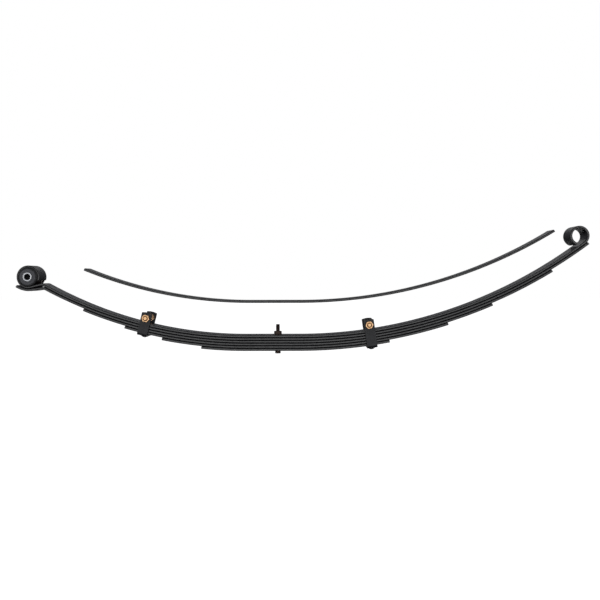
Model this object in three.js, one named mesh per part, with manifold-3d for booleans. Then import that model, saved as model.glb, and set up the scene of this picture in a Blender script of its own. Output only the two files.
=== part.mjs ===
// A six-leaf automotive leaf spring and its loose add-on leaf, in millimetres with +Z up.
// The origin is on the axis of the centre bolt, at the underside of the sixth, lowest leaf.
// +X runs along the spring to the open rear eye, -X to the front eye with its rubber bush.

import * as THREE from 'three';
import { mergeVertices } from 'three/addons/utils/BufferGeometryUtils.js';
import Module from 'manifold-3d';

const { degToRad } = THREE.MathUtils;

// ---- Driving dimensions ----------------------------------------------------------------------

// Clearances
const fitGap = 0.3; // between two pieces that seat on each other or pass through one another
const clipSideGap = 1; // between the edges of the leaves and the ears of a clip

// Leaves
const leafWidth = 63.5;
const leafThickness = 6.35;
const leafNames = ['main_leaf', 'second_leaf', 'third_leaf', 'fourth_leaf', 'fifth_leaf', 'sixth_leaf'];

// Each half of the pack is a flat seat and one arc. The seat is half the flat, measured from the
// centre bolt, and the radius is that of the main leaf's upper face.
const frontHalf = { side: -1, seat: 80, radius: 1046 };
const rearHalf = { side: 1, seat: 55, radius: 1207 };

// How far each lower leaf stops short of the one above it. At the front the third leaf stops short
// of the eye's centre instead.
const leafSteps = [
  { name: 'third_leaf', front: 138, rear: 91 },
  { name: 'fourth_leaf', front: 103.5, rear: 149.5 },
  { name: 'fifth_leaf', front: 93, rear: 111 },
  { name: 'sixth_leaf', front: 98.5, rear: 146.5 },
];
const secondLeafPastRearEye = 22.2;

// Add-on leaf, which is flatter than the pack and hovers above it before it is fitted
const addOnLift = 80.6; // from the main leaf's upper face to the add-on leaf's lower face
const addOnFront = { seat: 67.5, radius: 1098.7, shortOfEye: 140.5 };
const addOnRear = { seat: 58.5, radius: 1226.6, shortOfEye: 63.3 };

// Front eye: the main leaf bends back to a fall, runs straight and rolls up, over and round
const frontEye = {
  reach: 624, bore: 45, approach: 27, fall: degToRad(12.5), bendRadius: 10, roll: degToRad(300),
};

// Second leaf's wrap, a loose cradle below the front eye
const wrap = {
  radius: 56, offset: 1.5, fall: degToRad(7.5), bendRadius: 12, rise: degToRad(34),
};

// Rear eye: the main leaf rolls straight up from its arc
const rearEye = { reach: 756.8, bore: 36.9, roll: degToRad(304) };

// Front bush
const bushShellThickness = 1.5;
const bushSleeveDiameter = 23;
const bushSleeveBore = 14.6;
const bushFlangeOverlap = 2.5; // of the flange past the bore of the eye
const bushFlangeStandOut = 5; // past the side of the eye
const bushSleeveStandOut = 1.5; // past the face of the rubber
const bushFlangeRound = 2;

// M10 fasteners
const boltDiameter = 10;
const hexAcrossFlats = 17;
const nutHeight = 8.4;
const hexHeadHeight = 6.4;
const threadChamfer = 1;
const centreHeadDiameter = 14;
const centreHeadHeight = 8;
const centreStudHeight = 26; // above the main leaf
const clipThreadStandOut = 3; // past the nut

// Clips
const clipWidth = 26;
const clipThickness = 5.5;
const clipBendRadius = clipSideGap; // inside the bend, which keeps the leaf's sharp edge clear
const clipBoltHeight = 12.75; // above the main leaf
const clipEarAboveBolt = 14.5;
const clipEarArch = 1.7;
const clipEarCorner = 0.8;
const spacerWall = 3.7;
const rivetDiameter = 8;
const rivetHeadDiameter = 18;
const rivetHeadHeight = 5.6;
const clips = [
  { name: 'front_clip', half: frontHalf, end: 'front', rivetedLeaf: 'fourth_leaf', fromTip: 51.5 },
  { name: 'rear_clip', half: rearHalf, end: 'rear', rivetedLeaf: 'sixth_leaf', fromTip: 50 },
];

// Fineness of the facets
const arcStep = degToRad(1.5);
const wrapStep = degToRad(5);
const bendStep = degToRad(10);
const roundSides = 36;
const boltSides = 24;
const domeSteps = 5;

// ---- Values worked out from them -------------------------------------------------------------

const leafPitch = leafThickness + fitGap;
const packHeight = leafNames.length * leafPitch - fitGap;
const addOnHeight = packHeight + addOnLift;
const boltHoleDiameter = boltDiameter + 2 * fitGap;
const rivetHoleDiameter = rivetDiameter + 2 * fitGap;
const clipInnerWidth = leafWidth + 2 * clipSideGap;
const clipOuterWidth = clipInnerWidth + 2 * clipThickness;
const hexCornerRadius = hexAcrossFlats / Math.sqrt(3);
const spacerDiameter = boltHoleDiameter + 2 * spacerWall;
const frontEyeCentreRadius = (frontEye.bore + leafThickness) / 2;
const rearEyeCentreRadius = (rearEye.bore + leafThickness) / 2;

// How far each leaf below the main leaf reaches from the centre bolt
const leafReaches = { second_leaf: { front: frontEye.reach, rear: rearEye.reach + secondLeafPastRearEye } };
leafSteps.reduce((above, { name, front, rear }) => {
  leafReaches[name] = { front: above.front - front, rear: above.rear - rear };
  return leafReaches[name];
}, leafReaches.second_leaf);

// ---- Finishes --------------------------------------------------------------------------------

const finishes = {
  blackPaint: { color: 0x1c1d1f, roughness: 0.42, metalness: 0.1 },
  blackClip: { color: 0x232426, roughness: 0.5, metalness: 0.1 },
  darkSteel: { color: 0x3a3431, roughness: 0.45, metalness: 0.8 },
  brightZinc: { color: 0xd9dadb, roughness: 0.3, metalness: 0.9 },
  yellowZinc: { color: 0xc99a56, roughness: 0.35, metalness: 0.85 },
  rubber: { color: 0x2b2c2e, roughness: 0.8, metalness: 0 },
};

function finish(kind) {
  return new THREE.MeshStandardMaterial(finishes[kind]);
}

// ---- Solids ----------------------------------------------------------------------------------

const wasm = await Module();
wasm.setup();

function toSolid(geometry) {
  const bare = geometry.clone();
  bare.deleteAttribute('normal');
  bare.deleteAttribute('uv');
  const merged = mergeVertices(bare);
  const mesh = new wasm.Mesh({
    numProp: 3,
    vertProperties: merged.attributes.position.array,
    triVerts: new Uint32Array(merged.index.array),
  });
  return new wasm.Manifold(mesh);
}

function toGeometry(solid) {
  const { vertProperties, triVerts } = solid.getMesh();
  const geometry = new THREE.BufferGeometry();
  geometry.setAttribute('position', new THREE.BufferAttribute(vertProperties, 3));
  geometry.setIndex(new THREE.BufferAttribute(triVerts, 1));
  geometry.computeVertexNormals();
  return geometry;
}

function cut(geometry, cutters) {
  const solid = cutters.reduce((rest, cutter) => rest.subtract(toSolid(cutter)), toSolid(geometry));
  return toGeometry(solid);
}

// An outline in the XZ plane, made solid across Y and centred on it
function acrossY(shape, width) {
  const geometry = new THREE.ExtrudeGeometry(shape, { depth: width, bevelEnabled: false, curveSegments: 8 });
  geometry.translate(0, 0, -width / 2);
  return geometry.rotateX(Math.PI / 2);
}

// An outline in the YZ plane, made solid along X and centred on it
function alongX(shape, width) {
  const geometry = new THREE.ExtrudeGeometry(shape, { depth: width, bevelEnabled: false, curveSegments: 8 });
  geometry.translate(0, 0, -width / 2);
  const toYZ = new THREE.Matrix4().makeBasis(
    new THREE.Vector3(0, 1, 0),
    new THREE.Vector3(0, 0, 1),
    new THREE.Vector3(1, 0, 0),
  );
  return geometry.applyMatrix4(toYZ);
}

// A solid turned about the Y axis from [radius, y] points that run outwards, up and back in
function turned(points, sides) {
  return new THREE.LatheGeometry(points.map(([radius, y]) => new THREE.Vector2(radius, y)), sides);
}

// A tube about the Y axis, centred on the origin
function tube(outerDiameter, bore, length) {
  const outline = [
    [bore / 2, -length / 2],
    [outerDiameter / 2, -length / 2],
    [outerDiameter / 2, length / 2],
    [bore / 2, length / 2],
    [bore / 2, -length / 2],
  ];
  return turned(outline, roundSides);
}

// A round cutter about the Y axis, centred on the origin
function drill(diameter, length) {
  return new THREE.CylinderGeometry(diameter / 2, diameter / 2, length, boltSides);
}

// ---- Centre lines of the leaves --------------------------------------------------------------

// Walks outwards from the centre bolt over a list of moves. A move is a straight, with a length, or
// a bend, with a radius, an angle that is positive where the leaf curls up, and a step. Stations are
// given as reach, height and heading.
function walk(height, moves) {
  const stations = [{ reach: 0, height, heading: 0 }];
  for (const { length, radius, angle, step } of moves) {
    const { reach, height: level, heading } = stations.at(-1);
    if (length) {
      stations.push({
        reach: reach + length * Math.cos(heading),
        height: level + length * Math.sin(heading),
        heading,
      });
      continue;
    }
    const curl = Math.sign(angle) * radius;
    const middle = { reach: reach - curl * Math.sin(heading), height: level + curl * Math.cos(heading) };
    const steps = Math.ceil(Math.abs(angle) / step - 1e-9);
    for (let i = 1; i <= steps; i += 1) {
      const turn = heading + Math.sign(angle) * Math.min(i * step, Math.abs(angle));
      stations.push({
        reach: middle.reach + curl * Math.sin(turn),
        height: middle.height - curl * Math.cos(turn),
        heading: turn,
      });
    }
  }
  return stations;
}

// A plain half leaf: the flat seat, then the arc out to the reach. Depth is that of the leaf's centre
// line below the face that the half's radius is for.
function plainHalf(half, depth, height, reach) {
  const radius = half.radius + depth;
  const angle = Math.asin((reach - half.seat) / radius);
  return walk(height, [{ length: half.seat }, { radius, angle, step: arcStep }]);
}

// The outline of a leaf from the centre lines of its two halves
function leafOutline(front, rear) {
  const mirrored = front.slice(1).reverse().map((station) => ({ ...station, side: -1 }));
  const stations = [...mirrored, ...rear.map((station) => ({ ...station, side: 1 }))];
  const offset = (distance) => ({ side, reach, height, heading }) => new THREE.Vector2(
    side * (reach - distance * Math.sin(heading)),
    height + distance * Math.cos(heading),
  );
  const upper = stations.map(offset(leafThickness / 2));
  const lower = stations.map(offset(-leafThickness / 2)).reverse();
  return new THREE.Shape([...upper, ...lower]);
}

// Depth and height of a pack leaf's centre line at the centre bolt, main leaf first
function packLevel(name) {
  const depth = leafNames.indexOf(name) * leafPitch + leafThickness / 2;
  return { depth, height: packHeight - depth };
}

// ---- Eyes and wrap ---------------------------------------------------------------------------

// The main leaf's front half, and the centre of its eye. The arc's angle is the one that puts the
// eye at its reach.
function mainLeafFront() {
  const { depth, height } = packLevel('main_leaf');
  const { reach, approach, fall, bendRadius, roll } = frontEye;
  const radius = frontHalf.radius + depth;
  const straightReach = approach * Math.cos(fall) + (bendRadius + frontEyeCentreRadius) * Math.sin(fall);
  const angle = Math.asin((reach - frontHalf.seat - straightReach) / (radius + bendRadius));
  const approachMoves = [
    { length: frontHalf.seat },
    { radius, angle, step: arcStep },
    { radius: bendRadius, angle: -angle - fall, step: bendStep },
    { length: approach },
  ];
  const start = walk(height, approachMoves).at(-1);
  const centre = {
    reach: start.reach + frontEyeCentreRadius * Math.sin(fall),
    height: start.height + frontEyeCentreRadius * Math.cos(fall),
  };
  const rollMove = { radius: frontEyeCentreRadius, angle: roll, step: bendStep };
  return { stations: walk(height, [...approachMoves, rollMove]), centre };
}

// The main leaf's rear half, and the centre of its eye
function mainLeafRear() {
  const { depth, height } = packLevel('main_leaf');
  const { reach, roll } = rearEye;
  const radius = rearHalf.radius + depth;
  const angle = Math.asin((reach - rearHalf.seat) / (radius - rearEyeCentreRadius));
  const stations = walk(height, [
    { length: rearHalf.seat },
    { radius, angle, step: arcStep },
    { radius: rearEyeCentreRadius, angle: roll, step: bendStep },
  ]);
  const centre = { reach, height: height + radius - (radius - rearEyeCentreRadius) * Math.cos(angle) };
  return { stations, centre };
}

// The second leaf's front half. Its cradle hangs one fit gap below the eye, and the arc's angle and
// the straight's length are the ones that meet the cradle.
function secondLeafFront(eyeCentre) {
  const { depth, height } = packLevel('second_leaf');
  const { offset, fall, bendRadius, rise } = wrap;
  const radius = frontHalf.radius + depth;
  const cradle = {
    reach: eyeCentre.reach - offset,
    height: eyeCentre.height - frontEyeCentreRadius - leafPitch + wrap.radius,
  };
  const arm = radius + bendRadius;
  const out = cradle.reach - frontHalf.seat - (bendRadius + wrap.radius) * Math.sin(fall);
  const up = arm - (cradle.height - height - (bendRadius + wrap.radius) * Math.cos(fall) + bendRadius);
  const half = out * Math.cos(fall) + up * Math.sin(fall);
  const length = half - Math.sqrt(half ** 2 - (out ** 2 + up ** 2 - arm ** 2));
  const angle = Math.asin((out - length * Math.cos(fall)) / arm);
  return walk(height, [
    { length: frontHalf.seat },
    { radius, angle, step: arcStep },
    { radius: bendRadius, angle: -angle - fall, step: bendStep },
    { length },
    { radius: wrap.radius, angle: fall + rise, step: wrapStep },
  ]);
}

// ---- Clips -----------------------------------------------------------------------------------

// A clip's group stands on the main leaf's upper face, square to the pack
function clipGroup({ half, end, rivetedLeaf, fromTip }) {
  const reach = leafReaches[rivetedLeaf][end] - fromTip;
  const slope = Math.asin((reach - half.seat) / half.radius);
  const group = new THREE.Group();
  group.position.set(half.side * reach, 0, packHeight + half.radius * (1 - Math.cos(slope)));
  group.rotation.y = -half.side * slope;
  group.updateMatrixWorld(true);
  return group;
}

// How far below the clip's origin the lower face of its riveted leaf is
function clipDepth({ rivetedLeaf }) {
  return packLevel(rivetedLeaf).depth + leafThickness / 2;
}

function strapSection(clip) {
  const inner = clipInnerWidth / 2;
  const outer = clipOuterWidth / 2;
  const floor = -clipDepth(clip) - fitGap;
  const top = clipBoltHeight + clipEarAboveBolt;
  const bend = clipBendRadius;
  const outerBend = clipBendRadius + clipThickness;
  const shape = new THREE.Shape();
  shape.moveTo(inner, top);
  shape.lineTo(inner, floor + bend);
  shape.absarc(inner - bend, floor + bend, bend, 0, -Math.PI / 2, true);
  shape.lineTo(-inner + bend, floor);
  shape.absarc(-inner + bend, floor + bend, bend, -Math.PI / 2, -Math.PI, true);
  shape.lineTo(-inner, top);
  shape.lineTo(-outer, top);
  shape.lineTo(-outer, floor + bend);
  shape.absarc(-inner + bend, floor + bend, outerBend, Math.PI, 1.5 * Math.PI, false);
  shape.lineTo(inner - bend, floor - clipThickness);
  shape.absarc(inner - bend, floor + bend, outerBend, -Math.PI / 2, 0, false);
  shape.lineTo(outer, top);
  return shape;
}

// The clip's outline from the side: square below, with a slight arch and small round corners on the ears
function strapSide(clip) {
  const half = clipWidth / 2;
  const low = -clipDepth(clip) - fitGap - 2 * clipThickness;
  const shoulder = clipBoltHeight + clipEarAboveBolt - clipEarArch;
  const round = clipEarCorner;
  const shape = new THREE.Shape();
  shape.moveTo(-half, low);
  shape.lineTo(half, low);
  shape.lineTo(half, shoulder - round);
  shape.absarc(half - round, shoulder - round, round, 0, Math.PI / 2, false);
  shape.quadraticCurveTo(0, shoulder + 2 * clipEarArch, -half + round, shoulder);
  shape.absarc(-half + round, shoulder - round, round, Math.PI / 2, Math.PI, false);
  return shape;
}

function strapGeometry(clip) {
  const bent = toSolid(alongX(strapSection(clip), clipWidth));
  const trimmed = toGeometry(bent.intersect(toSolid(acrossY(strapSide(clip), 2 * clipOuterWidth))));
  const boltHole = drill(boltHoleDiameter, 2 * clipOuterWidth).translate(0, 0, clipBoltHeight);
  return cut(trimmed, [boltHole, rivetHole(clip)]);
}

// The rivet's hole runs through the strap's base and the riveted leaf, and no further
function rivetHole(clip) {
  const top = -clipDepth(clip) + leafThickness + fitGap / 2;
  const length = leafThickness + 2 * clipThickness;
  const hole = drill(rivetHoleDiameter, length).rotateX(Math.PI / 2);
  return hole.translate(0, 0, top - length / 2);
}

// A domed head below the strap and a shank that ends just under the riveted leaf's upper face
function rivetGeometry(clip) {
  const headTop = -clipDepth(clip) - clipThickness - 2 * fitGap;
  const shankTop = -clipDepth(clip) + leafThickness - fitGap;
  const dome = [];
  for (let i = 0; i <= domeSteps; i += 1) {
    const angle = (i / domeSteps) * (Math.PI / 2);
    dome.push([
      (rivetHeadDiameter / 2) * Math.sin(angle),
      headTop - rivetHeadHeight * Math.cos(angle),
    ]);
  }
  const outline = [...dome, [rivetDiameter / 2, headTop], [rivetDiameter / 2, shankTop], [0, shankTop]];
  return turned(outline, boltSides).rotateX(Math.PI / 2);
}

// ---- Fasteners and bush ----------------------------------------------------------------------

// A hexagon across Y with two of its corners along X
function hexPrism(height) {
  return new THREE.CylinderGeometry(hexCornerRadius, hexCornerRadius, height, 6).rotateY(Math.PI / 6);
}

function nutGeometry() {
  return cut(hexPrism(nutHeight), [drill(boltHoleDiameter, 2 * nutHeight)]);
}

// A hexagon-headed bolt along Y: its head seats on the far ear, its thread runs through the nut
function clipBoltGeometry() {
  const head = clipOuterWidth / 2 + fitGap;
  const end = -head - nutHeight - clipThreadStandOut;
  const shank = turned([
    [0, end],
    [boltDiameter / 2 - threadChamfer, end],
    [boltDiameter / 2, end + threadChamfer],
    [boltDiameter / 2, head + hexHeadHeight / 2],
    [0, head + hexHeadHeight / 2],
  ], boltSides);
  const hexHead = hexPrism(hexHeadHeight).translate(0, head + hexHeadHeight / 2, 0);
  return toGeometry(toSolid(shank).add(toSolid(hexHead)));
}

// The centre bolt along Z: a round head below the pack and a long stud above the nut
function centreBoltGeometry() {
  const top = packHeight + centreStudHeight;
  const outline = [
    [0, -fitGap - centreHeadHeight],
    [centreHeadDiameter / 2 - threadChamfer, -fitGap - centreHeadHeight],
    [centreHeadDiameter / 2, -fitGap - centreHeadHeight + threadChamfer],
    [centreHeadDiameter / 2, -fitGap],
    [boltDiameter / 2, -fitGap],
    [boltDiameter / 2, top - threadChamfer],
    [boltDiameter / 2 - threadChamfer, top],
    [0, top],
  ];
  return turned(outline, boltSides).rotateX(Math.PI / 2);
}

function bushShellGeometry() {
  const diameter = frontEye.bore - 2 * fitGap;
  return tube(diameter, diameter - 2 * bushShellThickness, leafWidth);
}

// Rubber between the shell and the sleeve, with a round-edged flange past each side of the eye
function bushRubberGeometry() {
  const bore = bushSleeveDiameter / 2 + fitGap;
  const waist = frontEye.bore / 2 - bushShellThickness - 2 * fitGap;
  const flange = frontEye.bore / 2 + bushFlangeOverlap;
  const inner = leafWidth / 2 + fitGap;
  const face = leafWidth / 2 + bushFlangeStandOut;
  const round = bushFlangeRound;
  const upperHalf = [
    [waist, 0],
    [waist, inner],
    [flange, inner],
    [flange, face - round],
    [flange - round * (1 - Math.SQRT1_2), face - round * (1 - Math.SQRT1_2)],
    [flange - round, face],
    [bore, face],
  ];
  const lowerHalf = upperHalf.slice(1).reverse().map(([radius, y]) => [radius, -y]);
  return turned([...lowerHalf, ...upperHalf.slice(1), lowerHalf[0]], roundSides);
}

function bushSleeveGeometry() {
  const length = leafWidth + 2 * (bushFlangeStandOut + bushSleeveStandOut);
  return tube(bushSleeveDiameter, bushSleeveBore, length);
}

// ---- The spring ------------------------------------------------------------------------------

const spring = new THREE.Group();

function addPiece(parent, name, geometry, kind) {
  const mesh = new THREE.Mesh(geometry, finish(kind));
  mesh.name = name;
  parent.add(mesh);
  return mesh;
}

// The holes of a leaf: the centre bolt's, and a rivet's where a clip is riveted to it
function leafHoles(name) {
  const centreHole = drill(boltHoleDiameter, 4 * addOnHeight).rotateX(Math.PI / 2);
  const riveted = clips.filter((clip) => clip.rivetedLeaf === name);
  return [centreHole, ...riveted.map((clip) => rivetHole(clip).applyMatrix4(clipGroup(clip).matrix))];
}

function addLeaf(name, front, rear) {
  const bar = acrossY(leafOutline(front, rear), leafWidth);
  addPiece(spring, name, cut(bar, leafHoles(name)), 'blackPaint');
}

function addPack() {
  const front = mainLeafFront();
  const rear = mainLeafRear();
  addLeaf('main_leaf', front.stations, rear.stations);

  for (const [name, reaches] of Object.entries(leafReaches)) {
    const { depth, height } = packLevel(name);
    const isWrapped = name === 'second_leaf';
    addLeaf(
      name,
      isWrapped ? secondLeafFront(front.centre) : plainHalf(frontHalf, depth, height, reaches.front),
      plainHalf(rearHalf, depth, height, reaches.rear),
    );
  }
  return front.centre;
}

function addAddOnLeaf() {
  const depth = leafThickness / 2;
  const height = addOnHeight + leafThickness / 2;
  addLeaf(
    'add_on_leaf',
    plainHalf(addOnFront, depth, height, frontEye.reach - addOnFront.shortOfEye),
    plainHalf(addOnRear, depth, height, rearEye.reach - addOnRear.shortOfEye),
  );
}

function addCentreFasteners() {
  addPiece(spring, 'centre_bolt', centreBoltGeometry(), 'darkSteel');
  const nut = addPiece(spring, 'centre_nut', nutGeometry(), 'darkSteel');
  nut.rotation.x = Math.PI / 2;
  nut.position.z = packHeight + fitGap + nutHeight / 2;
}

function addFrontBush(eyeCentre) {
  const bush = new THREE.Group();
  bush.position.set(-eyeCentre.reach, 0, eyeCentre.height);
  addPiece(bush, 'front_bush_outer_shell', bushShellGeometry(), 'darkSteel');
  addPiece(bush, 'front_bush_rubber', bushRubberGeometry(), 'rubber');
  addPiece(bush, 'front_bush_inner_sleeve', bushSleeveGeometry(), 'brightZinc');
  spring.add(bush);
}

function addClip(clip) {
  const group = clipGroup(clip);
  addPiece(group, `${clip.name}_strap`, strapGeometry(clip), 'blackClip');
  addPiece(group, `${clip.name}_rivet`, rivetGeometry(clip), 'blackClip');

  const bolt = addPiece(group, `${clip.name}_bolt`, clipBoltGeometry(), 'yellowZinc');
  bolt.position.z = clipBoltHeight;
  const nut = addPiece(group, `${clip.name}_nut`, nutGeometry(), 'yellowZinc');
  nut.position.set(0, -clipOuterWidth / 2 - fitGap - nutHeight / 2, clipBoltHeight);
  const spacerLength = clipInnerWidth - 2 * fitGap;
  const spacer = tube(spacerDiameter, boltHoleDiameter, spacerLength);
  addPiece(group, `${clip.name}_spacer`, spacer, 'yellowZinc').position.z = clipBoltHeight;
  spring.add(group);
}

const frontEyeCentre = addPack();
addAddOnLeaf();
addCentreFasteners();
addFrontBush(frontEyeCentre);
clips.forEach(addClip);

export default spring;
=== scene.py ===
"""Looks of a six-leaf automotive leaf spring with its loose add-on leaf hovering above the pack.

Lengths are in metres. The origin is on the axis of the centre bolt at the underside of the lowest leaf,
+X runs to the open rear eye, -X to the bushed front eye and +Z up.
"""

import logging
import math
from collections.abc import Callable, Iterator
from contextlib import contextmanager
from dataclasses import dataclass, field
from enum import Enum

import bpy
from mathutils import Matrix, Vector

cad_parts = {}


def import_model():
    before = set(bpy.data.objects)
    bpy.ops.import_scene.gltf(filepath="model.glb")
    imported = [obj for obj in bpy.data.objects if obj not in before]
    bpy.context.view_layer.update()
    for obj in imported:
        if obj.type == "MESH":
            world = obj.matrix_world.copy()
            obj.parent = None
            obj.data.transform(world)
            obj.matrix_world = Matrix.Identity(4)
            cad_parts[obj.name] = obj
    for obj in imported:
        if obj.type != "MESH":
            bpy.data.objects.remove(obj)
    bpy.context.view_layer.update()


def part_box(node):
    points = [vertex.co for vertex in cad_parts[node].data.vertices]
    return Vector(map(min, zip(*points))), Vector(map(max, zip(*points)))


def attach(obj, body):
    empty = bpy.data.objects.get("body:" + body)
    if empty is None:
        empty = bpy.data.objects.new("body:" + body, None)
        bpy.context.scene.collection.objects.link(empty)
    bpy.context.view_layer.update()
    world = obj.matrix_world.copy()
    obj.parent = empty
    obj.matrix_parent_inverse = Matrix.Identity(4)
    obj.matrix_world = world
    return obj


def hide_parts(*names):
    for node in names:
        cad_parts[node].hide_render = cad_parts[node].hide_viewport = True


# Short names for Blender's types
Piece = bpy.types.Object
Tree = bpy.types.NodeTree
Socket = bpy.types.NodeSocket

LOG = logging.getLogger("leaf_spring")
MM = 0.001
TOUCH = 0.001 * MM
# How far a cutting tool stands past what it cuts
PAST = 0.2 * MM
SMOOTH_ANGLE = math.radians(32)
SHARP_ANGLE = math.radians(40)
# Turns the Z axis of a piece that stands upright to the far side of the spring
CROSSWISE = Matrix.Rotation(math.radians(-90), 4, "X")
# Sides of turned rounds: small ones, tubes and large ones
SMALL_SIDES, TUBE_SIDES, LARGE_SIDES = 48, 72, 96
# Sockets of a node that mixes colours, and the lines that a wave texture draws per unit at scale 1
SHARE, FIRST, SECOND, MIXED = 0, 6, 7, 2
WAVE_LINES = 20


class Side(Enum):
    """The two halves of the spring, seen from the centre bolt."""

    FRONT = -1
    REAR = 1


class Body(Enum):
    """The moving bodies of the spring."""

    PACK = "pack"
    SLEEVE = "front_sleeve"
    ADD_ON = "add_on_leaf"


class Cut(Enum):
    """What one solid does to another."""

    TAKE_AWAY = "DIFFERENCE"
    ADD = "UNION"
    KEEP_SHARED = "INTERSECT"


# ---- Bench work ----


def activate(piece: Piece) -> None:
    """Makes one piece the only selected and the active object.

    Args:
        piece: The object to work on.
    """
    bpy.ops.object.select_all(action="DESELECT")
    piece.select_set(True)
    bpy.context.view_layer.objects.active = piece


@contextmanager
def edit_mode(piece: Piece) -> Iterator[None]:
    """Opens a piece in edit mode with everything selected, and closes it again.

    Args:
        piece: The mesh object to edit.

    Yields:
        Nothing.
    """
    activate(piece)
    bpy.ops.object.mode_set(mode="EDIT")
    bpy.ops.mesh.select_mode(type="VERT")
    bpy.ops.mesh.select_all(action="SELECT")
    yield
    bpy.ops.object.mode_set(mode="OBJECT")


def pick_faces(piece: Piece, wanted: Callable[[Vector, Vector], bool]) -> None:
    """Selects faces of a piece that is in edit mode, by their place.

    Args:
        piece: The piece in edit mode.
        wanted: Says yes to a face's middle and normal.
    """
    bpy.ops.mesh.select_mode(type="FACE")
    bpy.ops.mesh.select_all(action="DESELECT")
    bpy.ops.object.mode_set(mode="OBJECT")
    for face in piece.data.polygons:
        face.select = wanted(face.center, face.normal)
    bpy.ops.object.mode_set(mode="EDIT")


def at_middle(centre: Vector, normal: Vector) -> bool:
    """Says whether a face stands upright at X = 0, where a bar's two halves meet."""
    return abs(centre.x) < TOUCH and abs(normal.x) > 0.9


def extrude(way: tuple[float, float, float]) -> None:
    """Pulls what is selected out of the mesh in edit mode by one step."""
    bpy.ops.mesh.extrude_region_move(TRANSFORM_OT_translate={"value": way})


def name_new(name: str) -> Piece:
    """Names the piece that was just added, and returns it."""
    bpy.context.object.name = name
    return bpy.context.object


def face_outwards() -> None:
    """Turns every face of the mesh in edit mode outwards."""
    bpy.ops.mesh.select_all(action="SELECT")
    bpy.ops.mesh.normals_make_consistent(inside=False)


def apply_modifier(piece: Piece, kind: str, **settings: object) -> None:
    """Puts a modifier on a piece and applies it.

    Args:
        piece: The piece to change.
        kind: The modifier's type.
        **settings: Its settings.
    """
    activate(piece)
    modifier = piece.modifiers.new(kind.lower(), kind)
    for name, value in settings.items():
        setattr(modifier, name, value)
    bpy.ops.object.modifier_apply(modifier=modifier.name)


def carve(piece: Piece, tool: Piece, cut: Cut) -> None:
    """Cuts a piece with a solid tool, which is used up.

    Args:
        piece: The piece to change.
        tool: The solid that cuts it.
        cut: What the tool does.
    """
    apply_modifier(piece, "BOOLEAN", operation=cut.value, object=tool, solver="EXACT")
    bpy.data.objects.remove(tool)


def break_edges(piece: Piece, width: float, segments: int = 2) -> None:
    """Rounds the sharp edges of a piece.

    Args:
        piece: The piece to change.
        width: How far the rounding reaches from an edge.
        segments: The number of facets across it.
    """
    apply_modifier(
        piece, "BEVEL", width=width, segments=segments, limit_method="ANGLE",
        angle_limit=SHARP_ANGLE, use_clamp_overlap=False,
    )


def shade(piece: Piece) -> None:
    """Smooths a piece's curves and keeps its flats flat.

    Args:
        piece: The piece to shade.
    """
    activate(piece)
    bpy.ops.object.shade_smooth_by_angle(angle=SMOOTH_ANGLE)
    apply_modifier(piece, "WEIGHTED_NORMAL", keep_sharp=True)


def settle(piece: Piece, place: Matrix) -> None:
    """Moves a piece by moving its mesh, so that its object stays at the origin.

    Args:
        piece: The piece to move.
        place: Where its own frame goes.
    """
    activate(piece)
    piece.matrix_world = place
    bpy.ops.object.transform_apply(location=True, rotation=True, scale=True)


def turned(name: str, rings: list[tuple[float, float]], sides: int, hollow: bool = False) -> Piece:
    """Turns a piece about the Z axis, as on a lathe, ring by ring.

    Args:
        name: The piece's name.
        rings: Radius and height of each ring. A hollow piece's outline runs round and closes itself.
        sides: The number of sides of its rounds.
        hollow: Whether the piece has a bore.

    Returns:
        The piece, standing on the Z axis.
    """
    bpy.ops.object.select_all(action="DESELECT")
    radius, height = rings[0]
    bpy.ops.mesh.primitive_circle_add(
        vertices=sides, radius=radius, location=(0, 0, 0), fill_type="NOTHING" if hollow else "NGON",
    )
    piece = name_new(name)
    with edit_mode(piece):
        bpy.ops.transform.translate(value=(0, 0, height))
        for next_radius, next_height in rings[1:] + (rings[:1] if hollow else []):
            extrude((0, 0, next_height - height))
            share = next_radius / radius
            bpy.ops.transform.resize(value=(share, share, 1), center_override=(0, 0, 0))
            radius, height = next_radius, next_height
        bpy.ops.mesh.select_all(action="SELECT")
        bpy.ops.mesh.remove_doubles(threshold=TOUCH)
        face_outwards()
    return piece


def tube(name: str, outer: float, bore: float, half: float, edge: float) -> Piece:
    """Turns a tube with broken edges.

    Args:
        name: The piece's name.
        outer: Its outer radius.
        bore: The radius of its bore.
        half: Half its length.
        edge: Width of the broken edges.

    Returns:
        The tube, centred on the origin along the Z axis.
    """
    upper = [(outer, half - edge), (outer - edge, half), (bore + edge, half), (bore, half - edge)]
    lower = [(radius, -height) for radius, height in reversed(upper)]
    return turned(name, [*lower, *upper], TUBE_SIDES, hollow=True)


def drill(piece: Piece, diameter: float, low: float, high: float, place: Matrix, chamfer: float) -> None:
    """Drills a round hole with broken edges through a piece.

    Args:
        piece: The piece to drill.
        diameter: The hole's diameter.
        low: Where the hole comes out below, along its own axis.
        high: Where it comes out above.
        place: Turns and moves the hole's axis, which is Z.
        chamfer: Width of the broken edges.
    """
    radius = diameter / 2
    mouth = radius + chamfer + PAST
    rings = [(mouth, low - PAST), (radius, low + chamfer), (radius, high - chamfer), (mouth, high + PAST)]
    tool = turned("drill", rings, SMALL_SIDES)
    settle(tool, place)
    carve(piece, tool, Cut.TAKE_AWAY)


# ---- Bar stock ----


@dataclass(frozen=True)
class Straight:
    """A straight run of a bar."""

    length: float


@dataclass(frozen=True)
class Bend:
    """A bend of a bar about its centre line. A positive angle curls up."""

    radius: float
    angle: float
    step: float


# The moves of a bar, in order
Moves = list[Straight | Bend]


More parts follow.
